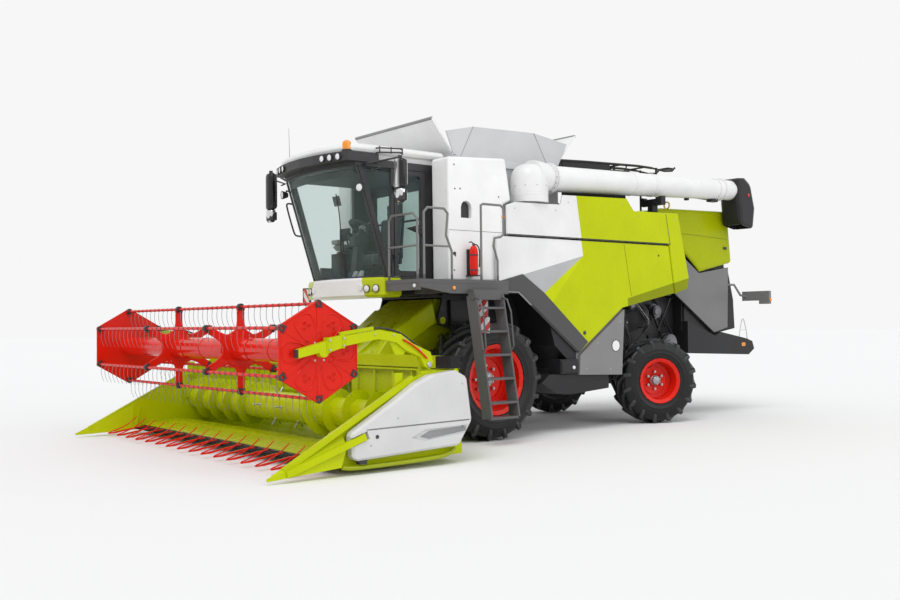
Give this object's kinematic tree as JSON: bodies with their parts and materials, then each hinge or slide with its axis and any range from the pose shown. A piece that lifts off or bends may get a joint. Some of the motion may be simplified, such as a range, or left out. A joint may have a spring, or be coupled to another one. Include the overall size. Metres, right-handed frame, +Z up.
{
  "type": "combine harvester",
  "caption": "Self-propelled combine harvester with a grain header, cab, open grain tank, rearward unloading tube and straw spreader.",
  "frame": {"origin": "centre of the machine's bounding box on the ground under the wheels", "axes": "+X forwards over the header, +Y to the machine's left, +Z up"},
  "size_m": [10.5, 5.926, 4.42],
  "materials": {
    "lime_paint": "gloss",
    "white_paint": "gloss",
    "grey_paint": "satin",
    "black_paint": "satin",
    "red_paint": "gloss",
    "tyre_rubber": "matte",
    "plain_steel": "satin",
    "tinted_glass": "gloss",
    "seat_cloth": "matte",
    "tank_sheet": "satin"
  },
  "bodies": {
    "chassis": {"threshing_body": "black_paint", "engine_block": "plain_steel", "grain_tank": "tank_sheet", "tower_left": "white_paint", "tower_right": "white_paint", "upper_panel_left": "lime_paint", "upper_panel_right": "lime_paint", "rear_hood": "lime_paint", "hood_skirt": "grey_paint", "straw_spreader": "black_paint", "platform_left": "grey_paint", "cab_frame": "black_paint", "cab_roof": "white_paint", "windscreen": "tinted_glass", "quarter_window": "tinted_glass", "side_window": "tinted_glass", "operator_seat": "seat_cloth", "steering_column": "black_paint", "cab_bumper": "white_paint", "front_axle": "black_paint", "rear_axle": "black_paint"},
    "header": {"header_frame": "lime_paint", "header_cover_left": "white_paint", "header_cover_right": "white_paint", "feeder_house": "lime_paint", "cutter_bar": "red_paint"},
    "auger": {"intake_auger": "lime_paint"},
    "reel_arms": {"reel_arm_left": "lime_paint", "reel_arm_right": "lime_paint"},
    "reel": {"reel_frame": "red_paint"},
    "lift_barrels": {"lift_barrels": "black_paint"},
    "lift_rods": {"lift_rods": "plain_steel"},
    "unloader": {"unloading_tube": "white_paint", "unloading_spout": "black_paint"},
    "cab_door": {"cab_door": "black_paint", "door_glass": "tinted_glass"},
    "side_door_left": {"side_door_left": "lime_paint", "door_trim_left": "grey_paint"},
    "side_door_right": {"side_door_right": "lime_paint", "door_trim_right": "grey_paint"},
    "flap_front": {"tank_flap_front": "tank_sheet"},
    "flap_rear": {"tank_flap_rear": "tank_sheet"},
    "tine_bar_1": {"tine_bar_1": "red_paint"},
    "tine_bar_2": {"tine_bar_2": "red_paint"},
    "tine_bar_3": {"tine_bar_3": "red_paint"},
    "tine_bar_4": {"tine_bar_4": "red_paint"},
    "tine_bar_5": {"tine_bar_5": "red_paint"},
    "tine_bar_6": {"tine_bar_6": "red_paint"},
    "front_wheel_left": {"front_tyre_left": "tyre_rubber", "front_rim_left": "red_paint"},
    "knuckle_left": {"rear_knuckle_left": "black_paint"},
    "rear_wheel_left": {"rear_tyre_left": "tyre_rubber", "rear_rim_left": "red_paint"},
    "front_wheel_right": {"front_tyre_right": "tyre_rubber", "front_rim_right": "red_paint"},
    "knuckle_right": {"rear_knuckle_right": "black_paint"},
    "rear_wheel_right": {"rear_tyre_right": "tyre_rubber", "rear_rim_right": "red_paint"}
  },
  "joints": [
    {"name": "header_lift", "type": "hinge", "parent": "chassis", "child": "header", "pos_m": [1.41, 0, 1.62], "axis": [0, -1, 0], "range_deg": [0, 20]},
    {"name": "lift_barrel_swing", "type": "hinge", "parent": "chassis", "child": "lift_barrels", "pos_m": [1.37, 0, 0.58], "axis": [0, -1, 0], "range_deg": [0, 20.5]},
    {"name": "lift_rod_slide", "type": "slide", "parent": "lift_barrels", "child": "lift_rods", "axis": [0.9759, 0, -0.218], "range_m": [0, 0.365]},
    {"name": "auger_spin", "type": "hinge", "parent": "header", "child": "auger", "pos_m": [3.41, 0, 0.5], "axis": [0, 1, 0], "continuous": true},
    {"name": "reel_lift", "type": "hinge", "parent": "header", "child": "reel_arms", "pos_m": [3.19, 0, 1.12], "axis": [0, -1, 0], "range_deg": [-10, 15]},
    {"name": "reel_spin", "type": "hinge", "parent": "reel_arms", "child": "reel", "pos_m": [4.54, 0, 1.296], "axis": [0, 1, 0], "continuous": true},
    {"name": "tine_bar_1_turn", "type": "hinge", "parent": "reel", "child": "tine_bar_1", "pos_m": [4.97301, 0, 1.546], "axis": [0, 1, 0], "continuous": true},
    {"name": "tine_bar_2_turn", "type": "hinge", "parent": "reel", "child": "tine_bar_2", "pos_m": [4.54, 0, 1.796], "axis": [0, 1, 0], "continuous": true},
    {"name": "tine_bar_3_turn", "type": "hinge", "parent": "reel", "child": "tine_bar_3", "pos_m": [4.10699, 0, 1.546], "axis": [0, 1, 0], "continuous": true},
    {"name": "tine_bar_4_turn", "type": "hinge", "parent": "reel", "child": "tine_bar_4", "pos_m": [4.10699, 0, 1.046], "axis": [0, 1, 0], "continuous": true},
    {"name": "tine_bar_5_turn", "type": "hinge", "parent": "reel", "child": "tine_bar_5", "pos_m": [4.54, 0, 0.796], "axis": [0, 1, 0], "continuous": true},
    {"name": "tine_bar_6_turn", "type": "hinge", "parent": "reel", "child": "tine_bar_6", "pos_m": [4.97301, 0, 1.046], "axis": [0, 1, 0], "continuous": true},
    {"name": "unloading_swing", "type": "hinge", "parent": "chassis", "child": "unloader", "pos_m": [0.23, 1.25, 3.27], "axis": [0, 0, -1], "range_deg": [0, 100]},
    {"name": "cab_door_swing", "type": "hinge", "parent": "chassis", "child": "cab_door", "pos_m": [2.334, 0.942, 2.9], "axis": [0, 0, -1], "range_deg": [0, 85]},
    {"name": "side_door_lift_left", "type": "hinge", "parent": "chassis", "child": "side_door_left", "pos_m": [-0.79, 1.43, 2.77], "axis": [1, 0, 0], "range_deg": [0, 80]},
    {"name": "side_door_lift_right", "type": "hinge", "parent": "chassis", "child": "side_door_right", "pos_m": [-0.79, -1.43, 2.77], "axis": [-1, 0, 0], "range_deg": [0, 80]},
    {"name": "flap_front_fold", "type": "hinge", "parent": "chassis", "child": "flap_front", "pos_m": [1.38, 0, 3.922], "axis": [0, -1, 0], "range_deg": [0, 115]},
    {"name": "flap_rear_fold", "type": "hinge", "parent": "chassis", "child": "flap_rear", "pos_m": [-0.58, 0, 3.922], "axis": [0, 1, 0], "range_deg": [0, 115]},
    {"name": "front_wheel_spin_left", "type": "hinge", "parent": "chassis", "child": "front_wheel_left", "pos_m": [1.11, 1.24, 0.81881], "axis": [0, 1, 0], "continuous": true},
    {"name": "steering_left", "type": "hinge", "parent": "chassis", "child": "knuckle_left", "pos_m": [-2.445, 1.02, 0.6587], "axis": [0, 0, 1], "range_deg": [-18, 58]},
    {"name": "rear_wheel_spin_left", "type": "hinge", "parent": "knuckle_left", "child": "rear_wheel_left", "pos_m": [-2.36463, 1.24083, 0.6587], "axis": [0.342, 0.9397, 0], "continuous": true},
    {"name": "front_wheel_spin_right", "type": "hinge", "parent": "chassis", "child": "front_wheel_right", "pos_m": [1.11, -1.24, 0.81881], "axis": [0, 1, 0], "continuous": true},
    {"name": "steering_right", "type": "hinge", "parent": "chassis", "child": "knuckle_right", "pos_m": [-2.445, -1.02, 0.6587], "axis": [0, 0, 1], "range_deg": [-18, 58]},
    {"name": "rear_wheel_spin_right", "type": "hinge", "parent": "knuckle_right", "child": "rear_wheel_right", "pos_m": [-2.52537, -1.24083, 0.6587], "axis": [0.342, 0.9397, 0], "continuous": true}
  ],
  "couplings": [
    {"joint": "lift_barrel_swing", "follows": "header_lift", "ratio": 1.0053},
    {"joint": "lift_rod_slide", "follows": "header_lift", "m_per_rad": 1.0353},
    {"joint": "steering_right", "follows": "steering_left", "ratio": 1},
    {"joint": "tine_bar_1_turn", "follows": "reel_spin", "ratio": -1},
    {"joint": "tine_bar_2_turn", "follows": "reel_spin", "ratio": -1},
    {"joint": "tine_bar_3_turn", "follows": "reel_spin", "ratio": -1},
    {"joint": "tine_bar_4_turn", "follows": "reel_spin", "ratio": -1},
    {"joint": "tine_bar_5_turn", "follows": "reel_spin", "ratio": -1},
    {"joint": "tine_bar_6_turn", "follows": "reel_spin", "ratio": -1}
  ]
}
